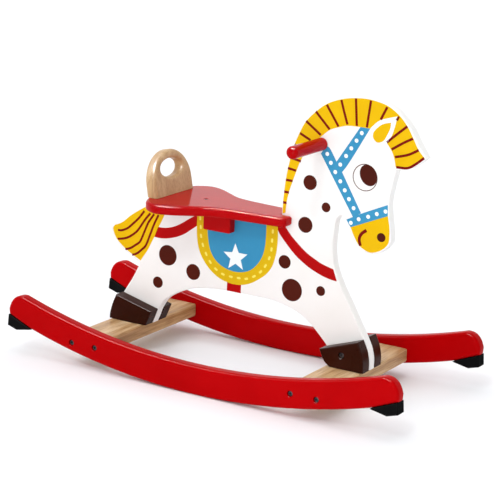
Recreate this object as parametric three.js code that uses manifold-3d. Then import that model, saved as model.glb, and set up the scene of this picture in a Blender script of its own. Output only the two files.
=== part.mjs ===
// Wooden rocking horse for a toddler. Millimetres, +Z up, +X towards the horse's nose, +Y to its left.
// It stands level on the floor, with the lowest point of its rockers' arc at (0, 0, 0).

import * as THREE from 'three';
import Module from 'manifold-3d';
import { mergeVertices } from 'three/addons/utils/BufferGeometryUtils.js';

const wasm = await Module();
wasm.setup();

// ---------------------------------------------------------------- driving dimensions

const GAP = 0.3; // play between pieces that touch
const ROUND = 12; // facets round a fastener or its hole
const OVERALL_WIDTH = 290;

// Rockers. The running edge is an arc of flats, each tangent to the true circle. The middle flat is long
// enough to carry the horse's weight, which lies a little ahead of the rockers' middle.
const ROCKER_RADIUS = 1034;
const ROCKER_HEIGHT = 43.5;
const ROCKER_THICKNESS = 20;
const ROCKER_HALF_LENGTH = 332.5;
const FLAT_ANGLE = THREE.MathUtils.degToRad(3);
const FLATS_EACH_WAY = 5;
const PAD_START = [289.5, 41.4]; // where a rubber pad's tip meets the running edge
const PAD_END = [ROCKER_HALF_LENGTH, 59];

// Crossbars, one under each pair of feet.
const BAR_X = { rear: -192.5, front: 186 };
const BAR_WIDTH = 60;
const BAR_TOP = 46.5;
const BAR_THICKNESS = 21;
const BAR_MIDDLE = BAR_TOP - BAR_THICKNESS / 2;

// Boards.
const PANEL_THICKNESS = 16;
const HOOF_THICKNESS = 22;
const SEAT_TOP = 255;
const SEAT_THICKNESS = 15;
const SEAT_UNDERSIDE = SEAT_TOP - SEAT_THICKNESS;
const PANEL_FACE = PANEL_THICKNESS / 2;
const FOOT_BOTTOM = BAR_TOP + GAP;
const PANEL_TOP = SEAT_UNDERSIDE - GAP;
const NECK_BACK = 60.5; // the upright edge of the neck where the seat's fork straddles it

// Backrest, leaning back from the seat, with an oval slot for the fingers.
const BACKREST_X = -129.6;
const BACKREST_LEAN = THREE.MathUtils.degToRad(11);
const BACKREST_THICKNESS = 18;
const BACKREST_HALF_WIDTH = 52.5;
const BACKREST_SHOULDER = 20;
const BACKREST_HEIGHT = 68.5;
const FINGER_SLOT = { height: 41, halfLength: 29.5, halfHeight: 13.8 };

// Handles, one each side of the neck, screwed onto a stud that passes through it.
const HANDLE = { x: 120.8, z: 368.3, radius: 9.5, reach: 100.5, dome: 7 };
const STUD = { radius: 4, halfLength: 28 };

// Cleats under the seat, one each side of the panel.
const CLEAT = { x: -41, length: 47, thickness: 15.5, bottom: 214.3 };

// Fasteners: radii and lengths. The head's top is at the fastener's origin, its tip at -length.
const ROCKER_BOLT = { head: 4.25, headHeight: 5, shank: 2.5, length: 52, socket: 2.3 };
const HOOF_BOLT = { head: 4.5, headHeight: 3, shank: 2.5, length: 46, socket: 2.3 };
const CLEAT_BOLT = { head: 4.5, headHeight: 3, shank: 2.5, length: 39, socket: 2.3 };
const BAR_SCREW = { head: 4.5, headHeight: 3, shank: 2.2, length: 30, countersunk: true };
const PAD_SCREW = { head: 4, headHeight: 2.5, shank: 1.8, length: 24, countersunk: true };
const SEAT_SCREW = { head: 3.6, headHeight: 3, shank: 2.2, length: 45, countersunk: true };
const BACKREST_SCREW = { head: 4, headHeight: 3, shank: 2.2, length: 38, countersunk: true };
const BARREL_NUT = { radius: 5, length: 14 };
const DOWEL = { radius: 3, bottom: 228, top: 249 };
const SOCKET_DEPTH = 2.6;

// Where the fasteners go.
const HEAD_SINK = 2; // how far a bolt's head lies below the face
const BOLT_OFFSET = { rear: -21, front: 21 }; // the two bolts in each end of a crossbar
const BARREL_NUT_INSET = 28; // from the crossbar's end
const HOOF_BOLT_AT = { front: [183.5, 67.5], rear: [-187, 66] };
const CLEAT_BOLT_HEIGHT = 221.5;
const CLEAT_DOWEL_OFFSET = { rear: -12, front: 12 };
const SEAT_SCREW_X = -75;
const BACKREST_SCREW_Y = 30;
const PAD_SCREW_ALONG = 23; // from the pad's thin end
const PAD_SCREW_DEPTH = 9; // of its head, below the rocker

// ---------------------------------------------------------------- finishes

const finish = (color, roughness, metalness = 0) =>
  new THREE.MeshStandardMaterial({ color, roughness, metalness });

const RED_PAINT = finish('#c2070b', 0.25);
const WHITE_PAINT = finish('#f1efec', 0.45);
const BROWN_PAINT = finish('#2b130c', 0.4);
const BARE_WOOD = finish('#c79c68', 0.55);
const BLACK_RUBBER = finish('#121212', 0.8);
const STEEL = finish('#8d8f92', 0.35, 1);

// ---------------------------------------------------------------- outlines

// The feet: edges shared by the horse's panel and by the hooves on either side of it.
const FRONT_FOOT = {
  toe: [[208.3, 92], [215.4, 77.5], [219.2, 62.5], [219.6, FOOT_BOTTOM]],
  heel: [[164.5, FOOT_BOTTOM], [156.8, 52.3], [151.3, 60.5], [146.8, 70.5]],
};
const REAR_FOOT = {
  toe: [[-147.8, 71], [-153, 57.5], [-157.5, FOOT_BOTTOM]],
  heel: [[-224.2, FOOT_BOTTOM], [-223.7, 56], [-219.8, 71], [-213.3, 87]],
};

// The horse's silhouette, as smooth runs that meet at corners. Each run starts where the last one ended.
const HORSE_RUNS = [
  [[NECK_BACK, PANEL_TOP], [NECK_BACK, 262]],
  // up the back of the neck and over the mane to the tip of the forelock
  [[60.5, 275], [61.5, 295], [65, 331], [74.5, 366], [91.5, 398.5], [115, 422.5], [143, 438],
    [173.5, 445], [203.5, 444.5], [233, 433.5], [256.5, 413.5], [272.5, 389.5], [286.5, 370]],
  // under the forelock
  [[276, 360.5], [261, 351.5], [241.5, 346.5]],
  // forehead, nose, chin and throat, then down the chest to the front foot
  [[236, 319], [233.5, 299], [235, 280], [239, 257], [239.5, 242], [233.5, 231], [222.5, 222.8],
    [209, 219.5], [195, 223], [182.5, 233.5], [174, 246], [168, 260], [159, 268], [151.5, 261],
    [149, 243.5], [148, 218], [152.5, 191], [165.5, 163], [185, 131.5], [200, 106], ...FRONT_FOOT.toe],
  [FRONT_FOOT.heel[0]],
  // the heel, the belly arch and the rear foot
  [...FRONT_FOOT.heel.slice(1), [133, 84.5], [116, 99], [94, 112], [58.5, 121], [22, 122.5], [-16, 122.2],
    [-53, 120.3], [-86, 114.5], [-114, 102.5], [-136, 88], ...REAR_FOOT.toe],
  [REAR_FOOT.heel[0]],
  // up the back of the leg to the root of the tail
  [...REAR_FOOT.heel.slice(1), [-199, 110.5], [-185.5, 137]],
  // the tail: lower edge, tip and upper edge
  [[-203, 146.5], [-219.5, 155.5], [-233.5, 167.5], [-241, 184], [-238.5, 193]],
  [[-222, 199], [-203.5, 214.5], [-182, 228.5], [-155, PANEL_TOP]],
];

// Joins the runs into one outline. Next to a corner the points keep apart, so that easing the edges
// does not fold the outline over itself.
function outline(runs, pointsPerSpan = 2, cornerClearance = 3) {
  const toPoint = ([x, y]) => new THREE.Vector2(x, y);
  let start = toPoint(runs[0][0]);
  const contour = [start];
  runs.forEach((run, index) => {
    const points = run.slice(index === 0 ? 1 : 0).map(toPoint);
    const end = points.at(-1);
    if (points.length > 1) {
      const curve = new THREE.SplineCurve([start, ...points]);
      contour.push(...curve.getPoints(pointsPerSpan * points.length).filter((point) => (
        point.distanceTo(start) > cornerClearance && point.distanceTo(end) > cornerClearance)));
    }
    contour.push(end);
    start = end;
  });
  return new THREE.Shape(contour);
}

function hoofOutline(foot) {
  const { toe, heel } = foot;
  return outline([[heel.at(-1), toe[0]], toe.slice(1), [heel[0]], heel.slice(1)]);
}

function rockerOutline() {
  const shape = new THREE.Shape();
  shape.moveTo(-PAD_END[0], PAD_END[1]);
  shape.lineTo(-PAD_START[0], PAD_START[1]);
  const cornerRadius = ROCKER_RADIUS / Math.cos(FLAT_ANGLE / 2);
  for (let i = -FLATS_EACH_WAY; i < FLATS_EACH_WAY; i++) {
    const angle = (i + 0.5) * FLAT_ANGLE;
    shape.lineTo(cornerRadius * Math.sin(angle), ROCKER_RADIUS - cornerRadius * Math.cos(angle));
  }
  shape.lineTo(...PAD_START);
  shape.lineTo(...PAD_END);

  // round each end over to the top edge, which runs parallel to the arc below it
  const topAt = (x) => ROCKER_HEIGHT + ROCKER_RADIUS - Math.sqrt(ROCKER_RADIUS ** 2 - x ** 2);
  const [endX, endZ] = [PAD_END[0] + 0.7, PAD_END[1] + 9];
  const topX = 307;
  const steps = 14;
  shape.lineTo(endX, endZ);
  shape.quadraticCurveTo(endX - 6, topAt(topX) + 1.5, topX, topAt(topX));
  for (let i = 1; i <= steps; i++) {
    const x = topX * (1 - (2 * i) / steps);
    shape.lineTo(x, topAt(x));
  }
  shape.quadraticCurveTo(6 - endX, topAt(topX) + 1.5, -endX, endZ);
  shape.closePath();
  return shape;
}

// A pad hangs under the rocker's end as a wedge. It is drawn for the front and mirrored for the rear.
function padOutline(direction) {
  const [startX, startZ] = PAD_START;
  const [endX, endZ] = PAD_END;
  const corners = [[startX + 1, startZ - 0.3], [317, 36], [334, 41], [endX, endZ - 2 * GAP]];
  return new THREE.Shape(corners.map(([x, z]) => new THREE.Vector2(direction * x, z)));
}

// The seat: wide and round under the rider, narrowing to a fork that straddles the neck.
function seatOutline() {
  const side = [[-154.5, 0], [-152.8, 26], [-147, 51], [-136, 71.5], [-116, 83], [-96, 79], [-80, 70],
    [-62, 57.5], [-42, 45], [-15, 38.5], [20, 34.8], [66, 31]];
  const forkEnd = 78;
  const cornerX = 71;
  const slotHalf = PANEL_FACE + GAP;
  const slotEnd = NECK_BACK - GAP;
  const mirrored = side.slice(0, -1).reverse().map(([x, y]) => new THREE.Vector2(x, -y));
  const shape = new THREE.Shape();
  shape.moveTo(...side[0]);
  shape.splineThru(side.slice(1).map(([x, y]) => new THREE.Vector2(x, y)));
  shape.lineTo(cornerX, 30.3);
  shape.quadraticCurveTo(forkEnd, 29.5, forkEnd, 23);
  shape.lineTo(forkEnd, slotHalf);
  shape.lineTo(slotEnd, slotHalf);
  shape.lineTo(slotEnd, -slotHalf);
  shape.lineTo(forkEnd, -slotHalf);
  shape.lineTo(forkEnd, -23);
  shape.quadraticCurveTo(forkEnd, -29.5, cornerX, -30.3);
  shape.lineTo(66, -31);
  shape.splineThru(mirrored);
  return shape;
}

function backrestOutline() {
  const shape = new THREE.Shape();
  const below = -10;
  shape.moveTo(-BACKREST_HALF_WIDTH, below);
  shape.lineTo(BACKREST_HALF_WIDTH, below);
  shape.lineTo(BACKREST_HALF_WIDTH, BACKREST_SHOULDER);
  const rise = BACKREST_HEIGHT - BACKREST_SHOULDER;
  shape.absellipse(0, BACKREST_SHOULDER, BACKREST_HALF_WIDTH, rise, 0, Math.PI, false);
  shape.closePath();

  const { height, halfLength, halfHeight } = FINGER_SLOT;
  const slot = new THREE.Path();
  slot.absellipse(0, height, halfLength, halfHeight, 0, 2 * Math.PI, false);
  shape.holes.push(slot);
  return shape;
}

function roundedBar(width, height, radius) {
  const shape = new THREE.Shape();
  const [x, y] = [width / 2, height / 2];
  shape.absarc(x - radius, y - radius, radius, 0, Math.PI / 2, false);
  shape.absarc(radius - x, y - radius, radius, Math.PI / 2, Math.PI, false);
  shape.absarc(radius - x, radius - y, radius, Math.PI, (3 * Math.PI) / 2, false);
  shape.absarc(x - radius, radius - y, radius, (3 * Math.PI) / 2, 2 * Math.PI, false);
  shape.closePath();
  return shape;
}

// ---------------------------------------------------------------- solids

// A board of the given outline, centred on its middle plane, with eased edges.
function board(shape, thickness, edge, curveSegments = 2, edgeSteps = 1) {
  const geometry = new THREE.ExtrudeGeometry(shape, {
    depth: thickness - 2 * edge,
    bevelEnabled: edge > 0,
    bevelThickness: edge,
    bevelSize: edge,
    bevelOffset: -edge,
    bevelSegments: edgeSteps,
    curveSegments,
  });
  return geometry.translate(0, 0, edge - thickness / 2);
}

function turned(profile, segments) {
  return new THREE.LatheGeometry(profile.map(([r, y]) => new THREE.Vector2(r, y)), segments);
}

// A bolt or screw about +Y. With clearance it becomes the hole that the fastener needs.
function fastenerProfile({ head, headHeight, shank, length, countersunk }, clearance = 0, mouth = 0) {
  const neck = countersunk ? [[shank + clearance, -headHeight]]
    : [[shank + clearance, -headHeight - clearance], [head + clearance, -headHeight - clearance]];
  return [[0, -length - clearance], [shank + clearance, -length - clearance], ...neck,
    [head + clearance, 0], ...(mouth > 0 ? [[head + clearance, mouth]] : []), [0, mouth]];
}

function toSolid(geometry) {
  const bare = geometry.clone();
  bare.deleteAttribute('normal');
  bare.deleteAttribute('uv');
  const merged = mergeVertices(bare, 1e-4);
  return new wasm.Manifold(new wasm.Mesh({
    numProp: 3,
    vertProperties: new Float32Array(merged.attributes.position.array),
    triVerts: new Uint32Array(merged.index.array),
  }));
}

function toGeometry(solid) {
  const { vertProperties, triVerts } = solid.getMesh();
  const geometry = new THREE.BufferGeometry();
  geometry.setAttribute('position', new THREE.BufferAttribute(vertProperties, 3));
  geometry.setIndex(new THREE.BufferAttribute(triVerts, 1));
  geometry.computeVertexNormals();
  return geometry;
}

// Cuts one placed shape out of another, each in its own place in the horse.
function cut(mesh, cutter) {
  mesh.updateWorldMatrix(true, false);
  cutter.updateWorldMatrix(true, false);
  const toLocal = mesh.matrixWorld.clone().invert().multiply(cutter.matrixWorld);
  const tool = toSolid(cutter.geometry.clone().applyMatrix4(toLocal));
  mesh.geometry = toGeometry(toSolid(mesh.geometry).subtract(tool));
}

// ---------------------------------------------------------------- naming and placing

const horse = new THREE.Group();
const UPRIGHT = [Math.PI / 2, 0, 0]; // an outline's x and y become the horse's x and z

function piece(name, geometry, material, position, rotation = [0, 0, 0], parent = horse) {
  const mesh = new THREE.Mesh(geometry, material);
  mesh.name = name;
  mesh.position.set(...position);
  mesh.rotation.set(...rotation);
  parent.add(mesh);
  return mesh;
}

// Makes something for each key of a table, and keeps the results under the same keys.
const forEach = (table, make) => (
  Object.fromEntries(Object.entries(table).map(([key, value]) => [key, make(key, value)])));
const SIDES = { right: -1, left: 1 };
const ENDS = { rear: -1, front: 1 };

const BESIDE_PANEL = PANEL_FACE + GAP; // where a piece on the panel's face begins
const ROCKER_Y = (OVERALL_WIDTH - ROCKER_THICKNESS) / 2;
const ROCKER_INSIDE = OVERALL_WIDTH / 2 - ROCKER_THICKNESS;

// ---------------------------------------------------------------- wooden pieces and pads

const panel = piece('horse_panel', board(outline(HORSE_RUNS), PANEL_THICKNESS, 2), WHITE_PAINT,
  [0, 0, 0], UPRIGHT);

const rockers = forEach(SIDES, (side, sign) => (
  piece(`${side}_rocker`, board(rockerOutline(), ROCKER_THICKNESS, 4.5, 2, 2), RED_PAINT,
    [0, sign * ROCKER_Y, 0], UPRIGHT)));

const bars = forEach(BAR_X, (end, x) => (
  piece(`${end}_crossbar`, board(roundedBar(BAR_WIDTH, BAR_THICKNESS, 3), 2 * (ROCKER_INSIDE - GAP), 0),
    BARE_WOOD, [x, 0, BAR_MIDDLE], UPRIGHT)));

const hooves = forEach({ front: FRONT_FOOT, rear: REAR_FOOT }, (end, foot) => (
  forEach(SIDES, (side, sign) => (
    piece(`${end}_${side}_hoof`, board(hoofOutline(foot), HOOF_THICKNESS, 2), BROWN_PAINT,
      [0, sign * (BESIDE_PANEL + HOOF_THICKNESS / 2), 0], UPRIGHT)))));

const pads = forEach(ENDS, (end, direction) => (
  forEach(SIDES, (side, sign) => (
    piece(`${end}_${side}_pad`, board(padOutline(direction), ROCKER_THICKNESS, 0.8), BLACK_RUBBER,
      [0, sign * ROCKER_Y, 0], UPRIGHT)))));

const seat = piece('seat_board', board(seatOutline(), SEAT_THICKNESS, 4, 2, 2), RED_PAINT,
  [0, 0, SEAT_TOP - SEAT_THICKNESS / 2]);

const CLEAT_HEIGHT = PANEL_TOP - CLEAT.bottom;
const cleats = forEach(SIDES, (side, sign) => (
  piece(`${side}_seat_cleat`, board(roundedBar(CLEAT.length, CLEAT_HEIGHT, 2.5), CLEAT.thickness, 2),
    RED_PAINT, [CLEAT.x, sign * (BESIDE_PANEL + CLEAT.thickness / 2), CLEAT.bottom + CLEAT_HEIGHT / 2],
    UPRIGHT)));

// The backrest is drawn in a frame that leans with it, then trimmed level with the seat.
const backrestFrame = new THREE.Group();
backrestFrame.position.set(BACKREST_X, 0, SEAT_TOP);
backrestFrame.rotation.y = -BACKREST_LEAN;
horse.add(backrestFrame);
const backrest = piece('backrest', board(backrestOutline(), BACKREST_THICKNESS, 4, 8, 2), BARE_WOOD,
  [-BACKREST_THICKNESS / 2, 0, 0], [Math.PI / 2, Math.PI / 2, 0], backrestFrame);
const trimDepth = 50;
const trim = new THREE.Mesh(new THREE.BoxGeometry(100, 4 * BACKREST_HALF_WIDTH, trimDepth));
trim.position.set(BACKREST_X, 0, SEAT_TOP + GAP - trimDepth / 2);
cut(backrest, trim);

// ---------------------------------------------------------------- handles

// A turned grip with an eased root, a domed end and a bore for the stud.
function handleProfile(domeSteps = 3) {
  const bore = STUD.radius + GAP;
  const boreEnd = STUD.halfLength + GAP;
  const profile = [[bore, BESIDE_PANEL], [HANDLE.radius - 1, BESIDE_PANEL],
    [HANDLE.radius, BESIDE_PANEL + 1]];
  for (let i = 0; i < domeSteps; i++) {
    const angle = (i / domeSteps) * (Math.PI / 2);
    profile.push([HANDLE.radius * Math.cos(angle), HANDLE.reach - HANDLE.dome * (1 - Math.sin(angle))]);
  }
  return [...profile, [0, HANDLE.reach], [0, boreEnd], [bore, boreEnd], profile[0]];
}

forEach(SIDES, (side, sign) => (
  piece(`${side}_handle`, turned(handleProfile(), 20), RED_PAINT, [HANDLE.x, 0, HANDLE.z],
    [0, 0, sign > 0 ? 0 : Math.PI])));

const rod = (radius, length) => new THREE.CylinderGeometry(radius, radius, length, ROUND);
const stud = piece('handle_stud', rod(STUD.radius, 2 * STUD.halfLength), STEEL, [HANDLE.x, 0, HANDLE.z]);
const studHole = stud.clone();
studHole.geometry = rod(STUD.radius + GAP, 2 * PANEL_THICKNESS);
cut(panel, studHole);

// ---------------------------------------------------------------- fasteners and dowels

// Puts in a fastener whose head faces outward, and cuts its hole in every piece that it passes.
function fasten(name, size, headAt, outward, through) {
  const mesh = piece(name, turned(fastenerProfile(size), ROUND), STEEL, headAt);
  mesh.quaternion.setFromUnitVectors(new THREE.Vector3(0, 1, 0), new THREE.Vector3(...outward));
  const hole = mesh.clone();
  hole.geometry = turned(fastenerProfile(size, GAP, 20), ROUND);
  through.forEach((target) => cut(target, hole));
  if (size.socket) {
    const key = mesh.clone();
    key.geometry = new THREE.CylinderGeometry(size.socket, size.socket, 2 * SOCKET_DEPTH, 6);
    cut(mesh, key);
  }
}

// An upright peg in a hole that can run on below it, as far as the piece's underside.
function peg(name, radius, low, high, [x, y], material, through, openBelow = 0) {
  const middle = (low + high) / 2;
  const mesh = piece(name, rod(radius, high - low), material, [x, y, middle], UPRIGHT);
  const hole = mesh.clone();
  hole.geometry = rod(radius + GAP, high - low + 2 * GAP + openBelow);
  hole.position.z = middle - openBelow / 2;
  through.forEach((target) => cut(target, hole));
  return mesh;
}

// rockers to crossbars: bolts run into barrel nuts, which go in from under the bar
forEach(BAR_X, (end, barX) => forEach(SIDES, (side, sign) => forEach(BOLT_OFFSET, (row, offset) => {
  const x = barX + offset;
  const half = BARREL_NUT.length / 2;
  const nut = peg(`${end}_${side}_barrel_nut_${row}`, BARREL_NUT.radius, BAR_MIDDLE - half, BAR_MIDDLE + half,
    [x, sign * (ROCKER_INSIDE - BARREL_NUT_INSET)], STEEL, [bars[end]], BAR_THICKNESS / 2);
  fasten(`${end}_${side}_rocker_bolt_${row}`, ROCKER_BOLT,
    [x, sign * (OVERALL_WIDTH / 2 - HEAD_SINK), BAR_MIDDLE], [0, sign, 0], [rockers[side], bars[end], nut]);
})));

// crossbars to hooves: screws from underneath, their heads just inside the bar
forEach(BAR_X, (end, barX) => forEach(SIDES, (side, sign) => {
  fasten(`${end}_${side}_crossbar_screw`, BAR_SCREW,
    [barX, sign * (BESIDE_PANEL + HOOF_THICKNESS / 2), BAR_TOP - BAR_THICKNESS + 1], [0, 0, -1],
    [bars[end], hooves[end][side]]);
}));

// pads to rockers: screws square to the flat that the pad sits on
forEach(ENDS, (end, direction) => forEach(SIDES, (side, sign) => {
  const slope = Math.atan2(PAD_END[1] - PAD_START[1], PAD_END[0] - PAD_START[0]);
  const onFlat = [PAD_START[0] + PAD_SCREW_ALONG * Math.cos(slope),
    PAD_START[1] + PAD_SCREW_ALONG * Math.sin(slope)];
  const headAt = [direction * (onFlat[0] + PAD_SCREW_DEPTH * Math.sin(slope)), sign * ROCKER_Y,
    onFlat[1] - PAD_SCREW_DEPTH * Math.cos(slope)];
  fasten(`${end}_${side}_pad_screw`, PAD_SCREW, headAt,
    [direction * Math.sin(slope), 0, -Math.cos(slope)], [pads[end][side], rockers[side]]);
}));

// hooves to the panel: one bolt through each foot, the front one from the right, the rear from the left
forEach({ front: 'right', rear: 'left' }, (end, headSide) => {
  const sign = SIDES[headSide];
  const [x, z] = HOOF_BOLT_AT[end];
  fasten(`${end}_hoof_bolt`, HOOF_BOLT, [x, sign * (BESIDE_PANEL + HOOF_THICKNESS - HEAD_SINK), z],
    [0, sign, 0], [hooves[end].right, panel, hooves[end].left]);
});

// cleats to the panel and to the seat
fasten('seat_cleat_bolt', CLEAT_BOLT,
  [CLEAT.x, BESIDE_PANEL + CLEAT.thickness - HEAD_SINK, CLEAT_BOLT_HEIGHT], [0, 1, 0],
  [cleats.left, panel, cleats.right]);
forEach(SIDES, (side, sign) => forEach(CLEAT_DOWEL_OFFSET, (row, offset) => {
  peg(`${side}_cleat_dowel_${row}`, DOWEL.radius, DOWEL.bottom, DOWEL.top,
    [CLEAT.x + offset, sign * (BESIDE_PANEL + CLEAT.thickness / 2)], BARE_WOOD, [cleats[side], seat]);
}));

// seat to the panel, from above, and to the backrest, from below along the leaning board
fasten('seat_screw', SEAT_SCREW, [SEAT_SCREW_X, 0, SEAT_TOP - 0.5], [0, 0, 1], [seat, panel]);
forEach(SIDES, (side, sign) => {
  const lean = [Math.sin(BACKREST_LEAN), Math.cos(BACKREST_LEAN)];
  const headZ = SEAT_UNDERSIDE + 1.5;
  const middleX = BACKREST_X - (BACKREST_THICKNESS / 2) * lean[1];
  const middleZ = SEAT_TOP - (BACKREST_THICKNESS / 2) * lean[0];
  fasten(`${side}_backrest_screw`, BACKREST_SCREW,
    [middleX + (middleZ - headZ) * Math.tan(BACKREST_LEAN), sign * BACKREST_SCREW_Y, headZ],
    [lean[0], 0, -lean[1]], [seat, backrest]);
});

export default horse;
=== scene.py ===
"""Wooden rocking horse for a toddler: its visual model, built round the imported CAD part.

Metres, +Z up, +X towards the horse's nose, +Y to its left. Outlines are written in millimetres.
"""
import math
from typing import NamedTuple

import bmesh
import bpy
from mathutils import Matrix, Vector


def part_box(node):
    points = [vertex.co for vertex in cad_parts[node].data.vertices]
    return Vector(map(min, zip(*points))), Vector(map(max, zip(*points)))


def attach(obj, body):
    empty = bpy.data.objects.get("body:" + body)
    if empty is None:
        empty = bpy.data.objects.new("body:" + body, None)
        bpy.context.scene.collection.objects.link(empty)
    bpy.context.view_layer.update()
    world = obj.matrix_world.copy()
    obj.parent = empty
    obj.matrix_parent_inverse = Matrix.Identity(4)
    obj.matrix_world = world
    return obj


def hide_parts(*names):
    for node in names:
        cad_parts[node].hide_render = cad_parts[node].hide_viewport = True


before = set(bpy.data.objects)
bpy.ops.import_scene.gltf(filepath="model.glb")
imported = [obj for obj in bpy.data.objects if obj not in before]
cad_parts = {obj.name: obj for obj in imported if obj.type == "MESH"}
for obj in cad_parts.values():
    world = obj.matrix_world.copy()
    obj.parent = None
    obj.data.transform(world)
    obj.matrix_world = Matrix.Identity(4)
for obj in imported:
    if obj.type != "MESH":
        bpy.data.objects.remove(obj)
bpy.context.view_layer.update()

MM = 0.001
SIDES = {"right": -1, "left": 1}
ENDS = {"rear": -1, "front": 1}
UPRIGHT = Matrix.Rotation(math.pi / 2, 4, "X")  # an outline's x and y become the horse's x and z
CROSSWISE = Matrix(((0, 0, 1, 0), (1, 0, 0, 0), (0, 1, 0, 0), (0, 0, 0, 1)))  # they become y and z

# ------------------------ dimensions

GAP = 0.3 * MM  # play between pieces that touch

PANEL_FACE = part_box("horse_panel")[1].y
ROCKER_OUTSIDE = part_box("left_rocker")[1].y
ROCKER_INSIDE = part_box("left_rocker")[0].y
HOOF_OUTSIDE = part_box("front_left_hoof")[1].y
SEAT_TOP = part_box("seat_board")[1].z
SEAT_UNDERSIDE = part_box("seat_board")[0].z
BAR_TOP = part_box("front_crossbar")[1].z
BAR_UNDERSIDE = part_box("front_crossbar")[0].z
BAR_MIDDLE = (BAR_TOP + BAR_UNDERSIDE) / 2
BESIDE_PANEL = PANEL_FACE + GAP
HOOF_THICKNESS = HOOF_OUTSIDE - BESIDE_PANEL
MIDDLE_OF_HOOF = (BESIDE_PANEL + HOOF_OUTSIDE) / 2
ROCKER_THICKNESS = ROCKER_OUTSIDE - ROCKER_INSIDE
MIDDLE_OF_ROCKER = (ROCKER_INSIDE + ROCKER_OUTSIDE) / 2

PANEL_EDGE = 2 * MM
HOOF_EDGE = 2 * MM
ROCKER_EDGE = 5 * MM
SEAT_EDGE = 4.5 * MM
BACKREST_EDGE = 5.5 * MM
CLEAT_EDGE = 2 * MM
CLEAT_CORNER = 2.5 * MM
BAR_EDGE = 0.6 * MM
BAR_CORNER = 3 * MM
PAD_EDGE = 0.9 * MM

ROCKER_RADIUS = 1034 * MM
ROCKER_HEIGHT = 43.5 * MM
PAD_START = Vector((289.5, 41.4)) * MM  # where a pad's thin end meets the running edge
PAD_END = Vector((332.5, 59)) * MM
ARC_END = PAD_START.x - 1.5 * MM
ROCKER_TIP = PAD_END + Vector((0.7, 9)) * MM  # from here the rocker's end rounds over
ROUND_OVER_END = 307 * MM  # to meet the top edge here

BACKREST_X = -129.6 * MM
BACKREST_LEAN = math.radians(11)
BACKREST_THICKNESS = 18 * MM
BACKREST_HALF_WIDTH = 52.5 * MM
BACKREST_SHOULDER = 20 * MM
BACKREST_HEIGHT = 68.5 * MM
BACKREST_SPARE = 10 * MM  # cut off level with the seat
SLOT_MIDDLE = 41  # above the seat along the board, in millimetres as the slot's ellipse is
SLOT_HALF_LENGTH = 29.5
SLOT_HALF_HEIGHT = 13.8

HANDLE_X = 120.8 * MM
HANDLE_Z = 368.3 * MM
HANDLE_RADIUS = 9.5 * MM
HANDLE_ROOT_EASE = 1 * MM
HANDLE_DOME = 7 * MM
HANDLE_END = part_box("left_handle")[1].y
STUD_RADIUS = 4 * MM
STUD_HALF_LENGTH = 28 * MM

# Fasteners. A sink is how far a head lies below the face round it.
BOLT_SINK = 2 * MM
BOLT_DOME = 1.6 * MM
HOLE_EASE = 0.35 * MM
BOLT_OFFSET = 21 * MM  # of the rocker bolts, each way from the middle of a crossbar
NUT_RADIUS = 5 * MM
NUT_INSET = 28 * MM  # from the crossbar's end
NUT_HOLE_TOP = 7.3 * MM  # above the middle of the crossbar
BAR_SCREW_SINK = 1 * MM
PAD_SCREW_ALONG = 23 * MM  # from the pad's thin end
PAD_SCREW_DEPTH = 9 * MM  # of its head, below the rocker
PAD_SCREW_SINK = 15 * MM
HOOF_BOLTS = {"front": ("right", 183.5 * MM, 67.5 * MM), "rear": ("left", -187 * MM, 66 * MM)}
CLEAT_BOLT_HEIGHT = 221.5 * MM
DOWEL_RADIUS = 3 * MM
SEAT_SCREW_X = -75 * MM
SEAT_SCREW_SINK = 0.5 * MM
BACKREST_SCREW_Y = 30 * MM
BACKREST_SCREW_SINK = 1.5 * MM
SMALL_EASE = 0.2 * MM  # round countersunk heads
LEAST_STEP = 0.01 * MM  # keeps a hole's corners apart
WELD = 0.002 * MM  # vertices nearer than this become one
RECESS_RADIUS = 2.3 * MM
RECESS_DEPTH = 2.4 * MM
BEYOND = 40 * MM  # how far a hole's cutter reaches outside the wood

INK_STEP = 0.055 * MM  # each layer of the print stands this much above the one below
INK_SINK = 0.5 * MM  # how far its plates reach into the board


class Fastener(NamedTuple):
    """A bolt or screw along z, its head's top at 0 and its tip at -length."""

    head: float
    head_height: float
    shank: float
    length: float
    recess: str
    countersunk: bool = False


ROCKER_BOLT = Fastener(4.25 * MM, 5 * MM, 2.5 * MM, 52 * MM, "hex")
HOOF_BOLT = Fastener(4.5 * MM, 3 * MM, 2.5 * MM, 46 * MM, "hex")
CLEAT_BOLT = Fastener(4.5 * MM, 3 * MM, 2.5 * MM, 39 * MM, "hex")
BAR_SCREW = Fastener(4.5 * MM, 3 * MM, 2.2 * MM, 30 * MM, "cross", countersunk=True)
PAD_SCREW = Fastener(4 * MM, 2.5 * MM, 1.8 * MM, 24 * MM, "cross", countersunk=True)
SEAT_SCREW = Fastener(3.6 * MM, 3 * MM, 2.2 * MM, 45 * MM, "cross", countersunk=True)
BACKREST_SCREW = Fastener(4 * MM, 3 * MM, 2.2 * MM, 38 * MM, "cross", countersunk=True)

# ------------------------ outlines of the boards, in millimetres

FRONT_TOE = [(208.3, 92), (215.4, 77.5), (219.2, 62.5), (219.6, 46.8)]
FRONT_HEEL = [(164.5, 46.8), (156.8, 52.3), (151.3, 60.5), (146.8, 70.5)]
REAR_TOE = [(-147.8, 71), (-153, 57.5), (-157.5, 46.8)]
REAR_HEEL = [(-224.2, 46.8), (-223.7, 56), (-219.8, 71), (-213.3, 87)]
FEET = {"front": (FRONT_TOE, FRONT_HEEL), "rear": (REAR_TOE, REAR_HEEL)}

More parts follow.
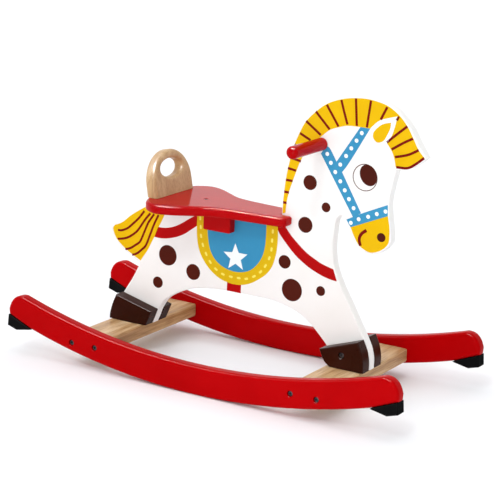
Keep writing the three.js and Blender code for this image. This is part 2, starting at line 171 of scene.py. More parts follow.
# The horse's silhouette, as smooth runs that meet at corners. Each starts where the last one ended.
NECK = [(60.5, 239.7), (60.5, 262)]
CREST = [
    (60.5, 275), (61.5, 295), (65, 331), (74.5, 366), (91.5, 398.5), (115, 422.5), (143, 438),
    (173.5, 445), (203.5, 444.5), (233, 433.5), (256.5, 413.5), (272.5, 389.5), (286.5, 370),
]
FORELOCK = [(276, 360.5), (261, 351.5), (241.5, 346.5)]
FACE_AND_CHEST = [
    (236, 319), (233.5, 299), (235, 280), (239, 257), (239.5, 242), (233.5, 231), (222.5, 222.8),
    (209, 219.5), (195, 223), (182.5, 233.5), (174, 246), (168, 260), (159, 268), (151.5, 261),
    (149, 243.5), (148, 218), (152.5, 191), (165.5, 163), (185, 131.5), (200, 106),
]
BELLY = [
    (133, 84.5), (116, 99), (94, 112), (58.5, 121), (22, 122.5), (-16, 122.2), (-53, 120.3),
    (-86, 114.5), (-114, 102.5), (-136, 88),
]
HORSE_RUNS = [
    NECK,
    CREST,
    FORELOCK,
    FACE_AND_CHEST + FRONT_TOE,
    FRONT_HEEL[:1],
    FRONT_HEEL[1:] + BELLY + REAR_TOE,
    REAR_HEEL[:1],
    REAR_HEEL[1:] + [(-199, 110.5), (-185.5, 137)],
    [(-203, 146.5), (-219.5, 155.5), (-233.5, 167.5), (-241, 184), (-238.5, 193)],
    [(-222, 199), (-203.5, 214.5), (-182, 228.5), (-155, 239.7)],
]

SEAT_SIDE = [
    (-154.5, 0), (-152.8, 26), (-147, 51), (-136, 71.5), (-116, 83), (-96, 79), (-80, 70),
    (-62, 57.5), (-42, 45), (-15, 38.5), (20, 34.8), (66, 31),
]
SEAT_FORK_CORNER = [(71, 30.3), (78, 29.5), (78, 23)]
SEAT_FORK_ENDS = (78, 60.2)  # x of the slot's mouth and of its bottom

# ------------------------ the printed pictures, in millimetres

MANE = [
    [(62, 262), (62.4, 280), (65, 310), (70, 338), (76, 361), (83.6, 380), (93, 397.6), (109, 414.4),
     (126, 427.6), (149, 437), (172, 441.4), (195, 442), (221, 437), (240, 426), (254, 412),
     (264, 397), (273, 382), (283, 371.5)],
    [(273, 362), (262, 356), (250, 352), (240, 352)],
    [(237, 364), (232, 374), (224, 384)],
    [(213, 391), (198, 401)],
    [(176, 401), (160, 400), (146, 396), (132, 390), (119, 379), (108, 370), (98, 358), (88, 340),
     (82, 324), (76, 306), (71, 290), (68, 274), (67, 258)],
    [(62, 256)],
]
MANE_STRANDS = [
    [(84, 379), (102, 371)], [(93, 398), (118, 381)], [(108, 414), (132, 391)],
    [(125, 426), (146, 397)], [(148, 436), (153, 421), (160, 402)], [(171, 441), (175, 402)],
    [(195, 441), (191, 402)], [(221, 435), (212, 416)], [(240, 424), (237, 418)],
    [(254, 412), (238, 398), (224, 385)], [(264, 396), (250, 388), (232, 376)],
    [(274, 381), (258, 372), (238, 366)], [(283, 371), (270, 360), (258, 353), (241, 352)],
    [(76, 361), (90, 356)], [(70, 341), (88, 338)], [(67, 325), (81, 323)], [(65, 307), (76, 307)],
    [(63, 289), (71, 289)], [(62, 273), (68, 273)],
]
EAR_RIM = [
    [(195, 398), (200, 405), (210, 414), (222, 419), (238, 424)],
    [(235, 410), (231, 396), (224, 384)],
    [(210, 384), (195, 398)],
]
EAR_INSIDE = [
    [(228.4, 414), (216, 410), (208, 404), (202.4, 397), (201.6, 390), (206, 384), (212, 383),
     (219, 387), (224, 396), (228, 406), (228.4, 414)],
]
CHEEK_STRAP = [
    [(120, 354), (178, 269)], [(190.4, 277)], [(156, 332), (146, 346)], [(131, 366), (120, 354)],
]
CROWN_STRAP = [[(140, 337), (146, 346)], [(181.5, 402)], [(197, 402)], [(156, 332), (140, 337)]]
NOSE_BAND = [
    [(167.4, 264), (175, 254)], [(232.9, 279.7)], [(231.8, 295.8)], [(190.4, 276.4), (167.4, 264)],
]
BRIDLE_STUDS = [
    (130.4, 355), (137, 343), (145, 330.6), (154, 318.4), (162, 306.4), (169.6, 294.6),
    (178, 282.6), (187.2, 267.8), (152.4, 342.6), (160.8, 356.4), (168.4, 368.6), (176, 380.8),
    (183.6, 392.8), (175, 260.4), (202, 273.8), (215.4, 280), (229, 285.8),
]
MUZZLE = [
    [(175, 254), (233, 279.7)],
    [(236.5, 264), (237.6, 250), (236.5, 240), (230, 231.5), (220, 225), (208, 222), (196, 226),
     (188, 232), (180, 244), (175, 254)],
]
NOSTRIL = (224.8, 247)
SMILE = [(200.7, 253.6), (193, 247), (190, 238.6), (192.6, 229.3)]
EYE = (193.2, 329.7)
PUPIL = (198.3, 333.7)
SPOTS = [  # x, z, radius
    (105, 309, 11), (133.4, 276.6, 7.2), (101, 245.3, 11.9), (-134.6, 158.6, 16),
    (-87.8, 140.4, 12.4), (-151, 112.8, 9), (69.8, 184, 10.2), (84.5, 143.5, 17), (132.5, 150.8, 7.4),
]
SADDLE = [
    [(-84.4, 237), (-84.4, 218)],
    [(-84, 200), (-80, 180), (-73, 166), (-63, 154), (-52, 145), (-38, 138), (-24, 135),
     (-14, 134.4), (0, 136), (14, 141), (28, 150), (40, 160), (49, 173), (54, 190), (56, 204),
     (56.4, 220), (55, 237)],
    [(-84.4, 237)],
]
SADDLE_CLOTH = [
    [(-66, 237), (-65.6, 220)],
    [(-65, 207.6), (-63, 194), (-59, 180), (-51, 168), (-40, 160), (-28, 155.6), (-14, 154),
     (0, 156), (12, 161), (22, 170), (30, 182), (34.4, 196), (36, 212), (36, 237)],
    [(-66, 237)],
]
STITCHES = [
    (-79, 226), (-77.6, 212.6), (-76.4, 199), (-72.6, 185.6), (-66, 172.6), (-58.4, 161.4),
    (-47.6, 152), (-35, 146.4), (-21, 145), (-7, 145.4), (6, 146.6), (19, 152.6), (30, 161.6),
    (37.6, 172), (43.6, 185), (46.6, 199), (47, 212.6), (47.4, 226.4),
]
STAR = (-14.3, 176)
GIRTH = [[(-27, 122.4), (-2.5, 122.4)], [(-2.5, 137)], [(-27, 137)], [(-27, 122.4)]]
RUMP_STRAP = [
    [(-154, 200), (-140, 201), (-124, 206), (-110, 214), (-100, 221), (-82, 232.5)],
    [(-82, 215)],
    [(-94, 206), (-106, 197), (-120, 190), (-136, 185), (-150, 183), (-160.6, 183.6)],
    [(-154, 200)],
]
BREAST_STRAP = [
    [(53, 237.5), (57.5, 226.7), (70, 213), (80, 203.3), (90, 195), (100, 188.7), (110, 183),
     (120, 178.7), (130, 175), (140, 172.3), (150, 170.5), (158, 170)],
    [(151.3, 187)],
    [(140, 189.7), (130, 192.5), (120, 197), (110, 201.7), (100, 208), (90, 215.8), (80, 224.2),
     (73.7, 230.8), (68, 237.5)],
    [(53, 237.5)],
]
TAIL = [
    [(-184, 141.5), (-180, 148), (-172, 160), (-164, 176), (-160, 184), (-154, 198), (-148, 210),
     (-143, 221)],
    [(-152, 237)],
    [(-166, 233.5), (-182, 225.5), (-203, 211.5), (-220, 197), (-233.5, 190.5)],
    [(-237, 184), (-230.5, 170), (-217, 158.5), (-202, 150), (-184, 141.5)],
]
TAIL_STRANDS = [
    [(-228, 183), (-220, 184), (-210, 189), (-202, 196), (-190, 208), (-180, 221)],
    [(-228, 169), (-218, 171), (-208, 175), (-198, 182), (-190, 190), (-178, 208), (-169, 219)],
    [(-213, 155), (-204, 158), (-194, 165), (-186, 172), (-179, 188), (-172, 204), (-162, 219)],
    [(-200, 148), (-191, 152), (-182, 160), (-175, 168), (-168, 186), (-162, 202), (-154, 219)],
]

# Sizes of the dots, lines and pens.
BRIDLE_STUD_RADIUS = 3
NOSTRIL_RADII = (6.8, 6.6)
EYE_LINE = (19.2, 1.2)  # radius and width
PUPIL_RADII = (16, 13.2)
PUPIL_TILT = math.radians(122)
STAR_RADII = (21.7, 9.5)
STAR_TILT = math.radians(3.5)
STITCH_LENGTH = 6.6
STITCH_WIDTH = 3.4
MANE_PEN = 3.7
TAIL_PEN = 3.5
SMILE_PEN = 4.8

# ------------------------ drawing

SPLINE_STEPS = 7
PEN_STEPS = 6
SAME_POINT = 0.01 * MM


def to_metres(points):
    return [Vector(point) * MM for point in points]


def spline(points, per_span=SPLINE_STEPS):
    """Points along a smooth curve through the given ones, as three.js draws it."""
    padded = [points[0], *points, points[-1]]
    curve = []
    for before, start, end, after in zip(padded, padded[1:], padded[2:], padded[3:]):
        leave = (end - before) / 2
        arrive = (after - start) / 2
        for step in range(per_span):
            t = step / per_span
            curve.append(
                start
                + leave * t
                + (3 * (end - start) - 2 * leave - arrive) * t**2
                + (2 * (start - end) + leave + arrive) * t**3
            )
    return [*curve, points[-1]]


def outline(runs, clearance=SAME_POINT):
    """Joins smooth runs into one closed outline. Points keep clear of the corners between them."""
    start = Vector(runs[0][0]) * MM
    contour = [start]
    for index, run in enumerate(runs):
        points = to_metres(run[1:] if index == 0 else run)
        end = points[-1]
        if len(points) > 1:
            for point in spline([start, *points]):
                if min((point - start).length, (point - end).length) > clearance:
                    contour.append(point)
        contour.append(end)
        start = end
    if (contour[-1] - contour[0]).length < SAME_POINT:
        contour.pop()
    return anticlockwise(contour)


def anticlockwise(loop):
    area = sum(a.cross(b) for a, b in zip(loop, loop[1:] + loop[:1]))
    return loop if area > 0 else loop[::-1]


def arc(centre, radius, start, end, steps):
    """Points along an arc, both ends included."""
    angles = [start + (end - start) * i / steps for i in range(steps + 1)]
    return [Vector(centre) + radius * Vector((math.cos(a), math.sin(a))) for a in angles]


def curve_to(start, guide, end, steps):
    """Points along a quadratic curve, both ends included."""
    shares = [i / steps for i in range(steps + 1)]
    return [start * (1 - t) ** 2 + 2 * guide * t * (1 - t) + end * t**2 for t in shares]


def ellipse(centre, across, along, tilt=0.0, steps=48):
    """A closed ellipse in millimetres, its first axis tilted from x."""
    turn = Matrix.Rotation(tilt, 2)
    circle = arc((0, 0), 1, 0, 2 * math.pi, steps)[:-1]
    return [(Vector(centre) + turn @ Vector((across * p.x, along * p.y))) * MM for p in circle]


def ring_sectors(centre, radius, width):
    """A thin ring in millimetres, as four sectors a hair apart."""
    steps = 14
    hair = 0.001
    patches = []
    for sector in range(4):
        start = sector * math.pi / 2
        end = start + math.pi / 2 - hair
        inner = arc(centre, radius - width / 2, start, end, steps)
        outer = arc(centre, radius + width / 2, start, end, steps)
        patches.append([p * MM for p in outer + inner[::-1]])
    return patches


def stroke(points, width):
    """The outline of a pen stroke in millimetres."""
    line = spline([Vector(p) for p in points], PEN_STEPS)
    left, right = [], []
    for i, point in enumerate(line):
        along = (line[min(i + 1, len(line) - 1)] - line[max(i - 1, 0)]).normalized()
        aside = Vector((-along.y, along.x)) * width / 2
        left.append((point + aside) * MM)
        right.append((point - aside) * MM)
    return anticlockwise(left + right[::-1])


def dash(centre, along, length, width, steps=8):
    """A short dash with round ends, in millimetres."""
    reach = along.normalized() * (length - width) / 2
    turn = math.atan2(along.y, along.x)
    quarter = math.pi / 2
    head = arc(centre + reach, width / 2, turn - quarter, turn + quarter, steps)
    tail = arc(centre - reach, width / 2, turn + quarter, turn + 3 * quarter, steps)
    return [p * MM for p in head + tail]


def star(centre, radius, inner_radius, tilt):
    points = []
    for i in range(10):
        angle = math.pi / 2 + tilt + i * math.pi / 5
        reach = radius if i % 2 == 0 else inner_radius
        points.append((Vector(centre) + reach * Vector((math.cos(angle), math.sin(angle)))) * MM)
    return points


def stitches(points):
    """Dashes that follow each other round the saddle's border."""
    centres = [Vector(p) for p in points]
    dashes = []
    for i, centre in enumerate(centres):
        along = centres[min(i + 1, len(centres) - 1)] - centres[max(i - 1, 0)]
        dashes.append(dash(centre, along, STITCH_LENGTH, STITCH_WIDTH))
    return dashes


def rounded_bar(width, height, radius, steps=6):
    """A rectangle round the origin, with round corners."""
    x = width / 2 - radius
    y = height / 2 - radius
    quarter = math.pi / 2
    points = []
    for i, centre in enumerate([(x, y), (-x, y), (-x, -y), (x, -y)]):
        points += arc(centre, radius, i * quarter, (i + 1) * quarter, steps)
    return points


# ------------------------ solids


def inset(loop, distance):
    """The loop moved to its left: outlines shrink and holes grow."""
    moved = []
    for before, point, after in zip(loop[-1:] + loop[:-1], loop, loop[1:] + loop[:1]):
        arriving = (point - before).normalized()
        leaving = (after - point).normalized()
        first = Vector((-arriving.y, arriving.x))
        second = Vector((-leaving.y, leaving.x))
        moved.append(point + (first + second) * distance / (1 + first.dot(second)))
    return moved


def to_object(name, mesh):
    """Turns a finished bmesh into a named object in the scene."""
    bmesh.ops.recalc_face_normals(mesh, faces=mesh.faces)
    data = bpy.data.meshes.new(name)
    mesh.to_mesh(data)
    mesh.free()
    made = bpy.data.objects.new(name, data)
    bpy.context.scene.collection.objects.link(made)
    return made


def skin(mesh, rings):
    """Faces between successive rings of vertices."""
    for lower, upper in zip(rings, rings[1:]):
        for i in range(len(lower)):
            j = (i + 1) % len(lower)
            mesh.faces.new((lower[i], lower[j], upper[j], upper[i]))


def cap(mesh, ring, hole_rings):
    """Closes a flat end, and leaves its holes open."""
    if not hole_rings:
        mesh.faces.new(ring)
        return
    edges = []
    for loop in [ring, *hole_rings]:
        edges += [mesh.edges.get((a, b)) for a, b in zip(loop, loop[1:] + loop[:1])]
    bmesh.ops.triangle_fill(mesh, edges=edges, use_beauty=True)


def board(name, loops, thickness, edge, place, steps=4):
    """A flat board with rounded edges. The first loop is its outline, any others are holes."""
    rounding = []
    for i in range(steps + 1):
        angle = math.pi / 2 * i / steps
        depth = edge * (1 - math.cos(angle))
        rounding.append((depth, thickness / 2 - edge * (1 - math.sin(angle))))
    section = [(depth, -z) for depth, z in reversed(rounding)] + rounding
    mesh = bmesh.new()
    bottoms, tops = [], []
    for loop in loops:
        rings = [
            [mesh.verts.new((p.x, p.y, z)) for p in inset(loop, depth)] for depth, z in section
        ]
        skin(mesh, rings)
        bottoms.append(rings[0])
        tops.append(rings[-1])
    cap(mesh, bottoms[0], bottoms[1:])
    cap(mesh, tops[0], tops[1:])
    mesh.transform(place)
    return to_object(name, mesh)


def bar_in_box(name, node, corner, edge, steps=4):
    """A bar across the horse that fills a CAD node's box. Its section has round corners."""
    low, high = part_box(node)
    section = rounded_bar(high.x - low.x, high.z - low.z, corner)
    place = Matrix.Translation((low + high) / 2) @ UPRIGHT
    return board(name, [section], high.y - low.y, edge, place, steps)


def turned(name, profile, place, segments=32):
    """A piece turned about z from a closed profile of radii and heights."""
    mesh = bmesh.new()
    rings = []
    for radius, z in profile:
        if radius == 0:
            rings.append([mesh.verts.new((0, 0, z))])
        else:
            circle = arc((0, 0), radius, 0, 2 * math.pi, segments)[:-1]
            rings.append([mesh.verts.new((p.x, p.y, z)) for p in circle])
    for lower, upper in zip(rings, rings[1:] + rings[:1]):
        if len(lower) == 1 and len(upper) == 1:
            continue
        for i in range(segments):
            j = (i + 1) % segments
            square = [
                lower[i % len(lower)],
                lower[j % len(lower)],
                upper[j % len(upper)],
                upper[i % len(upper)],
            ]
            mesh.faces.new(list(dict.fromkeys(square)))
    mesh.transform(place)
    return to_object(name, mesh)


def prism(mesh, loop, low, high):
    """A straight-sided plate between two heights along z."""
    rings = [[mesh.verts.new((p.x, p.y, z)) for p in loop] for z in (low, high)]
    skin(mesh, rings)
    cap(mesh, rings[0], [])
    cap(mesh, rings[1], [])


def weld(data):
    """Merges the hair-thin faces that a cut can leave."""
    mesh = bmesh.new()
    mesh.from_mesh(data)
    bmesh.ops.remove_doubles(mesh, verts=mesh.verts, dist=WELD)
    mesh.to_mesh(data)
    mesh.free()


def cut(piece, cutter):
    """Cuts one object out of another at once."""
    modifier = piece.modifiers.new("Cut", "BOOLEAN")
    modifier.operation = "DIFFERENCE"
    modifier.solver = "EXACT"
    modifier.object = cutter
    depsgraph = bpy.context.evaluated_depsgraph_get()
    result = bpy.data.meshes.new_from_object(piece.evaluated_get(depsgraph))
    piece.modifiers.remove(modifier)
    spent = piece.data
    piece.data = result
    weld(result)
    bpy.data.meshes.remove(spent)
    result.name = piece.name


def discard(thing):
    data = thing.data
    bpy.data.objects.remove(thing)
    bpy.data.meshes.remove(data)


def cut_prism(piece, loop, low, high):
    """Cuts a straight-sided block out of a piece, between two heights."""
    mesh = bmesh.new()
    prism(mesh, loop, low, high)
    tool = to_object("tool", mesh)
    cut(piece, tool)
    discard(tool)


def drill(pieces, profile, place):
    """Makes one turned hole through several pieces."""
    tool = turned("drill", profile, place)
    for piece in pieces:
        cut(piece, tool)
    discard(tool)


def bore(radius, low, high):
    """The profile of a plain round hole."""
    return [(0, low), (radius, low), (radius, high), (0, high)]


def aim(at, outward):
    """The place of something along z, with its top at a point and facing outward."""
    turn = Vector(outward).to_track_quat("Z", "Y").to_matrix().to_4x4()
    return Matrix.Translation(at) @ turn


def beside(side, distance):
    """The place of an upright board whose middle lies that far to one side."""
    return Matrix.Translation((0, SIDES[side] * distance, 0)) @ UPRIGHT


# ------------------------ materials

LACQUER_IOR = 1.15  # low, so that head-on reflections stay as weak as they are in the photograph
SATIN_IOR = 1.09
RUBBER_IOR = 1.09
TIMBER_IOR = 1.35


def linear(colour):
    """A colour written as #rrggbb, as the linear numbers that shaders use."""
    values = [int(colour[i : i + 2], 16) / 255 for i in (1, 3, 5)]
    return (*[v / 12.92 if v <= 0.04045 else ((v + 0.055) / 1.055) ** 2.4 for v in values], 1)


def new_material(name, colour):
    """A material, its node tree and its shader, in one plain colour so far."""
    material = bpy.data.materials.new(name)
    material.use_nodes = True
    material.diffuse_color = linear(colour)
    tree = material.node_tree
    shader = tree.nodes["Principled BSDF"]
    shader.inputs["Base Color"].default_value = linear(colour)
    return material, tree, shader


def noise(tree, scale, stretch=(1, 1, 1), detail=3.0, distortion=0.0):
    """Noise in the piece's own space. Where stretch is small the pattern runs long."""
    place = tree.nodes.new("ShaderNodeTexCoord")
    mapping = tree.nodes.new("ShaderNodeMapping")
    mapping.inputs["Scale"].default_value = stretch
    texture = tree.nodes.new("ShaderNodeTexNoise")
    texture.inputs["Scale"].default_value = scale
    texture.inputs["Detail"].default_value = detail
    texture.inputs["Distortion"].default_value = distortion
    tree.links.new(place.outputs["Object"], mapping.inputs["Vector"])
    tree.links.new(mapping.outputs["Vector"], texture.inputs["Vector"])
    return texture.outputs["Fac"]


def spread(tree, factor, low, high, start=0.3, end=0.7):
    """Carries a range of a value, at first a noise's middle range, to the range from low to high."""
    node = tree.nodes.new("ShaderNodeMapRange")
    node.inputs["From Min"].default_value = start
    node.inputs["From Max"].default_value = end
    node.inputs["To Min"].default_value = low
    node.inputs["To Max"].default_value = high
    tree.links.new(factor, node.inputs["Value"])
    return node.outputs["Result"]


def ramp(tree, factor, stops):
    """Colours at positions along a noise."""
    node = tree.nodes.new("ShaderNodeValToRGB")
    elements = node.color_ramp.elements
    while len(elements) < len(stops):
        elements.new(0.5)
    for element, (position, colour) in zip(elements, stops):
        element.position = position
        element.color = linear(colour)
    tree.links.new(factor, node.inputs["Fac"])
    return node.outputs["Color"]


def blend(tree, factor, first, second, mode="MIX"):
    node = tree.nodes.new("ShaderNodeMix")
    node.data_type = "RGBA"
    node.blend_type = mode
    node.inputs["Factor"].default_value = factor
    tree.links.new(first, node.inputs["A"])
    tree.links.new(second, node.inputs["B"])
    return node.outputs["Result"]


def bump(tree, shader, *layers):
    """Stacks bumps, each a noise and its height in metres."""
    below = None
    for height, distance in layers:
        node = tree.nodes.new("ShaderNodeBump")
        node.inputs["Strength"].default_value = 1.0
        node.inputs["Distance"].default_value = distance
        tree.links.new(height, node.inputs["Height"])
        if below:
            tree.links.new(below, node.inputs["Normal"])
        below = node.outputs["Normal"]
    tree.links.new(below, shader.inputs["Normal"])


def lacquer(name, colour, deeper, roughness, ior=LACQUER_IOR, peel=0.012 * MM, grain=0.01 * MM):
    """Paint on wood: cloudy by a shade, faintly rippled, with the wood's grain just showing."""
    material, tree, shader = new_material(name, colour)
    shade = ramp(tree, noise(tree, 9, detail=4), [(0.35, deeper), (0.62, colour)])
    tree.links.new(shade, shader.inputs["Base Color"])
    worn = spread(tree, noise(tree, 26, detail=5), roughness * 0.8, roughness * 1.3)
    tree.links.new(worn, shader.inputs["Roughness"])
    shader.inputs["IOR"].default_value = ior
    grain_height = noise(tree, 55, (1, 14, 14), detail=4)
    peel_height = noise(tree, 260, detail=2)
    bump(tree, shader, (grain_height, grain), (peel_height, peel))
    return material


def timber(name, along, contrast=1.0):
    """Clear-finished light wood, its grain running long along one axis."""
    material, tree, shader = new_material(name, "#cdab7e")
    bands = noise(tree, 95, [0.05 if axis == along else 1.0 for axis in "xyz"], 5, 0.5)
    pores = noise(tree, 900, [0.03 if axis == along else 1.0 for axis in "xyz"])
    figure = ramp(
        tree, bands, [(0.3, "#a67c4e"), (0.45, "#c49d6c"), (0.56, "#d2b084"), (0.72, "#dfc49d")]
    )
    plain = ramp(tree, bands, [(0.3, "#c6a276"), (0.7, "#cfae82")])
    pore_shade = ramp(tree, pores, [(0.36, "#b9986f"), (0.5, "#ffffff")])
    cloud = ramp(tree, noise(tree, 14, detail=2), [(0.3, "#e6dccf"), (0.7, "#ffffff")])
    wood = blend(tree, contrast, plain, figure)
    wood = blend(tree, 0.35 + 0.25 * contrast, wood, pore_shade, "MULTIPLY")
    wood = blend(tree, 0.8, wood, cloud, "MULTIPLY")
    tree.links.new(wood, shader.inputs["Base Color"])
    tree.links.new(spread(tree, bands, 0.32, 0.5), shader.inputs["Roughness"])
    shader.inputs["IOR"].default_value = TIMBER_IOR
    bump(tree, shader, (bands, 0.04 * MM), (pores, 0.03 * MM))
    return material


def rubber():
    material, tree, shader = new_material("black_rubber", "#080808")
    cloud = ramp(tree, noise(tree, 40, detail=4), [(0.35, "#050506"), (0.65, "#0b0b0c")])
    tree.links.new(cloud, shader.inputs["Base Color"])
    shader.inputs["IOR"].default_value = RUBBER_IOR
    scuffs = spread(tree, noise(tree, 150, detail=3), 0.62, 0.86)
    tree.links.new(scuffs, shader.inputs["Roughness"])
    bump(tree, shader, (noise(tree, 900, detail=2), 0.05 * MM))
    return material


def steel():
    material, tree, shader = new_material("steel", "#505154")
    shader.inputs["Metallic"].default_value = 1.0
    cloud = ramp(tree, noise(tree, 220, detail=4), [(0.35, "#444548"), (0.65, "#5c5d60")])
    tree.links.new(cloud, shader.inputs["Base Color"])
    scuffs = spread(tree, noise(tree, 500, detail=4), 0.24, 0.46)
    tree.links.new(scuffs, shader.inputs["Roughness"])
    bump(tree, shader, (noise(tree, 1400, (1, 1, 0.2), detail=2), 0.008 * MM))
    return material


def ink(name, colour, deeper):
    """Printing ink under the same clear coat as the panel."""
    return lacquer(name, colour, deeper, 0.34, peel=0.01 * MM, grain=0.008 * MM)


RED = lacquer("red_lacquer", "#b10206", "#a60104", 0.09)
SATIN_RED = lacquer("satin_red_lacquer", "#b30206", "#a80104", 0.2, ior=SATIN_IOR)
WHITE = lacquer("white_lacquer", "#f3f2f0", "#efedea", 0.34)
BROWN = lacquer("brown_lacquer", "#331206", "#270c04", 0.3)
BAR_WOOD = timber("bar_wood", "y")
BACKREST_WOOD = timber("backrest_wood", "z", contrast=0.25)
RUBBER = rubber()
STEEL = steel()
YELLOW_INK = ink("yellow_ink", "#e6b802", "#e0b000")
SADDLE_INK = ink("saddle_ink", "#e0bb14", "#d8b210")
BLUE_INK = ink("blue_ink", "#3e93bd", "#378bb7")
RED_INK = ink("red_ink", "#b60103", "#ab0102")
MAROON_INK = ink("maroon_ink", "#7c0c04", "#700a03")
BROWN_INK = ink("brown_ink", "#501709", "#451306")
WHITE_INK = ink("white_ink", "#f4fafa", "#eef6f7")
PALE_INK = ink("pale_ink", "#f7ea6a", "#f3e25c")

# ------------------------ finishing a piece

SHARP_ANGLE = math.radians(32)


def finish(made, material, slot_name, *stands_for):
    """Shades a piece, hangs it on the root body, and hides the CAD nodes that it stands for."""
    made.data.materials.clear()
    made.data.materials.append(material)
    made.data.shade_smooth()
    made.data.set_sharp_from_angle(angle=SHARP_ANGLE)
    weighted = made.modifiers.new("Weighted normals", "WEIGHTED_NORMAL")
    weighted.keep_sharp = True
    weighted.weight = 100
    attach(made, "root")
    if stands_for:
        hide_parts(*stands_for)


def repaint(node, material):
    """Gives a CAD node that stays in view its finish."""
    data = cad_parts[node].data
    data.materials.clear()
    data.materials.append(material)


# ------------------------ horse board, hooves and crossbars


def make_panel():
    loop = outline(HORSE_RUNS, clearance=3 * MM)
    return board("panel", [loop], 2 * PANEL_FACE, PANEL_EDGE, UPRIGHT)


def make_hoof(end, side):
    """Its toe and heel are the foot's own, and its top and bottom are straight."""
    toe, heel = FEET[end]
    loop = outline([[heel[-1], toe[0]], toe[1:], heel[:1], heel[1:]], clearance=3.2 * MM)
    place = beside(side, MIDDLE_OF_HOOF)
    return board(f"hoof_{end}_{side}", [loop], HOOF_THICKNESS, HOOF_EDGE, place)


def make_crossbar(end):
    return bar_in_box(f"crossbar_{end}", f"{end}_crossbar", BAR_CORNER, BAR_EDGE, steps=2)


# ------------------------ rockers and pads


def rocker_outline(steps=48):
    """A true arc between the flats for the pads, and a top edge that keeps its height above it."""

    def lower_at(x):
        return ROCKER_RADIUS - math.sqrt(ROCKER_RADIUS**2 - x**2)

    def on_top(x):
        return Vector((x, ROCKER_HEIGHT + lower_at(x)))

    top = on_top(ROUND_OVER_END)
    guide = Vector((ROCKER_TIP.x - 6 * MM, top.y + 1.5 * MM))
    half = [Vector((x, lower_at(x))) for x in (ARC_END * i / steps for i in range(steps + 1))]
    half += [PAD_START, PAD_END]
    half += curve_to(ROCKER_TIP, guide, top, 12)
    half += [on_top(ROUND_OVER_END * (1 - i / steps)) for i in range(1, steps + 1)]
    return anticlockwise(half + [Vector((-p.x, p.y)) for p in reversed(half[1:-1])])


def make_rocker(side):
    place = beside(side, MIDDLE_OF_ROCKER)
    return board(f"rocker_{side}", [rocker_outline()], ROCKER_THICKNESS, ROCKER_EDGE, place)


def pad_outline(direction):
    """A wedge under the rocker's end."""
    corners = [
        PAD_START + Vector((1, -0.3)) * MM,
        Vector((317, 36)) * MM,
        Vector((334, 41)) * MM,
        PAD_END - Vector((0, 0.6)) * MM,
    ]
    return anticlockwise([Vector((direction * p.x, p.y)) for p in corners])


def make_pad(end, side):
    loop = pad_outline(ENDS[end])
    place = beside(side, MIDDLE_OF_ROCKER)
    return board(f"pad_{end}_{side}", [loop], ROCKER_THICKNESS, PAD_EDGE, place, steps=3)


# ------------------------ seat, cleats and backrest


def seat_outline():
    """Wide and round under the rider, narrowing to a fork that straddles the neck."""
    half = [*spline(to_metres(SEAT_SIDE)), *curve_to(*to_metres(SEAT_FORK_CORNER), 6)]
    half += [Vector((x * MM, BESIDE_PANEL)) for x in SEAT_FORK_ENDS]
    return anticlockwise(half + [Vector((p.x, -p.y)) for p in reversed(half[1:])])


def make_seat():
    place = Matrix.Translation((0, 0, (SEAT_TOP + SEAT_UNDERSIDE) / 2))
    return board("seat", [seat_outline()], SEAT_TOP - SEAT_UNDERSIDE, SEAT_EDGE, place, steps=6)


def make_cleat(side):
    return bar_in_box(f"cleat_{side}", f"{side}_seat_cleat", CLEAT_CORNER, CLEAT_EDGE)


def backrest_outline(steps=40):
    """Straight sides up to the shoulder, and half an ellipse above it."""
    points = [
        Vector((-BACKREST_HALF_WIDTH, -BACKREST_SPARE)),
        Vector((BACKREST_HALF_WIDTH, -BACKREST_SPARE)),
    ]
    rise = BACKREST_HEIGHT - BACKREST_SHOULDER
    for p in arc((0, 0), 1, 0, math.pi, steps):
        points.append(Vector((BACKREST_HALF_WIDTH * p.x, BACKREST_SHOULDER + rise * p.y)))
    return anticlockwise(points)


def slot_outline():
    """The finger slot, clockwise because it is a hole."""
    return ellipse((0, SLOT_MIDDLE), SLOT_HALF_LENGTH, SLOT_HALF_HEIGHT)[::-1]


def make_backrest():
    """It is drawn in a frame that leans back from the seat, then trimmed level with it."""
    place = (
        Matrix.Translation((BACKREST_X, 0, SEAT_TOP))
        @ Matrix.Rotation(-BACKREST_LEAN, 4, "Y")
        @ Matrix.Translation((-BACKREST_THICKNESS / 2, 0, 0))
        @ CROSSWISE
    )
    loops = [backrest_outline(), slot_outline()]
    made = board("backrest_board", loops, BACKREST_THICKNESS, BACKREST_EDGE, place, steps=6)
    reach = 200 * MM
    square = [Vector(corner) * reach for corner in ((-1, -1), (1, -1), (1, 1), (-1, 1))]
    cut_prism(made, square, SEAT_TOP - reach, SEAT_TOP + GAP)
    return made


# ------------------------ handles


def handle_profile(steps=10):
    """An eased root, a domed end, and a bore for the stud."""
    bore_radius = STUD_RADIUS + GAP
    bore_end = STUD_HALF_LENGTH + GAP
    profile = [
        (bore_radius, BESIDE_PANEL),
        (HANDLE_RADIUS - HANDLE_ROOT_EASE, BESIDE_PANEL),
        (HANDLE_RADIUS - 0.3 * HANDLE_ROOT_EASE, BESIDE_PANEL + 0.3 * HANDLE_ROOT_EASE),
        (HANDLE_RADIUS, BESIDE_PANEL + HANDLE_ROOT_EASE),
    ]
    for p in arc((0, 0), 1, 0, math.pi / 2, steps)[:-1]:
        profile.append((HANDLE_RADIUS * p.x, HANDLE_END - HANDLE_DOME * (1 - p.y)))
    return [*profile, (0, HANDLE_END), (0, bore_end), (bore_radius, bore_end)]


def make_handle(side):
    place = aim((HANDLE_X, 0, HANDLE_Z), (0, SIDES[side], 0))
    made = turned(f"grip_{side}", handle_profile(), place, segments=64)
    finish(made, RED, "red_lacquer", f"{side}_handle")


def drill_for_stud():
    profile = bore(STUD_RADIUS + GAP, -BEYOND, BEYOND)
    drill([panel], profile, aim((HANDLE_X, 0, HANDLE_Z), (0, 1, 0)))


# ------------------------ fasteners


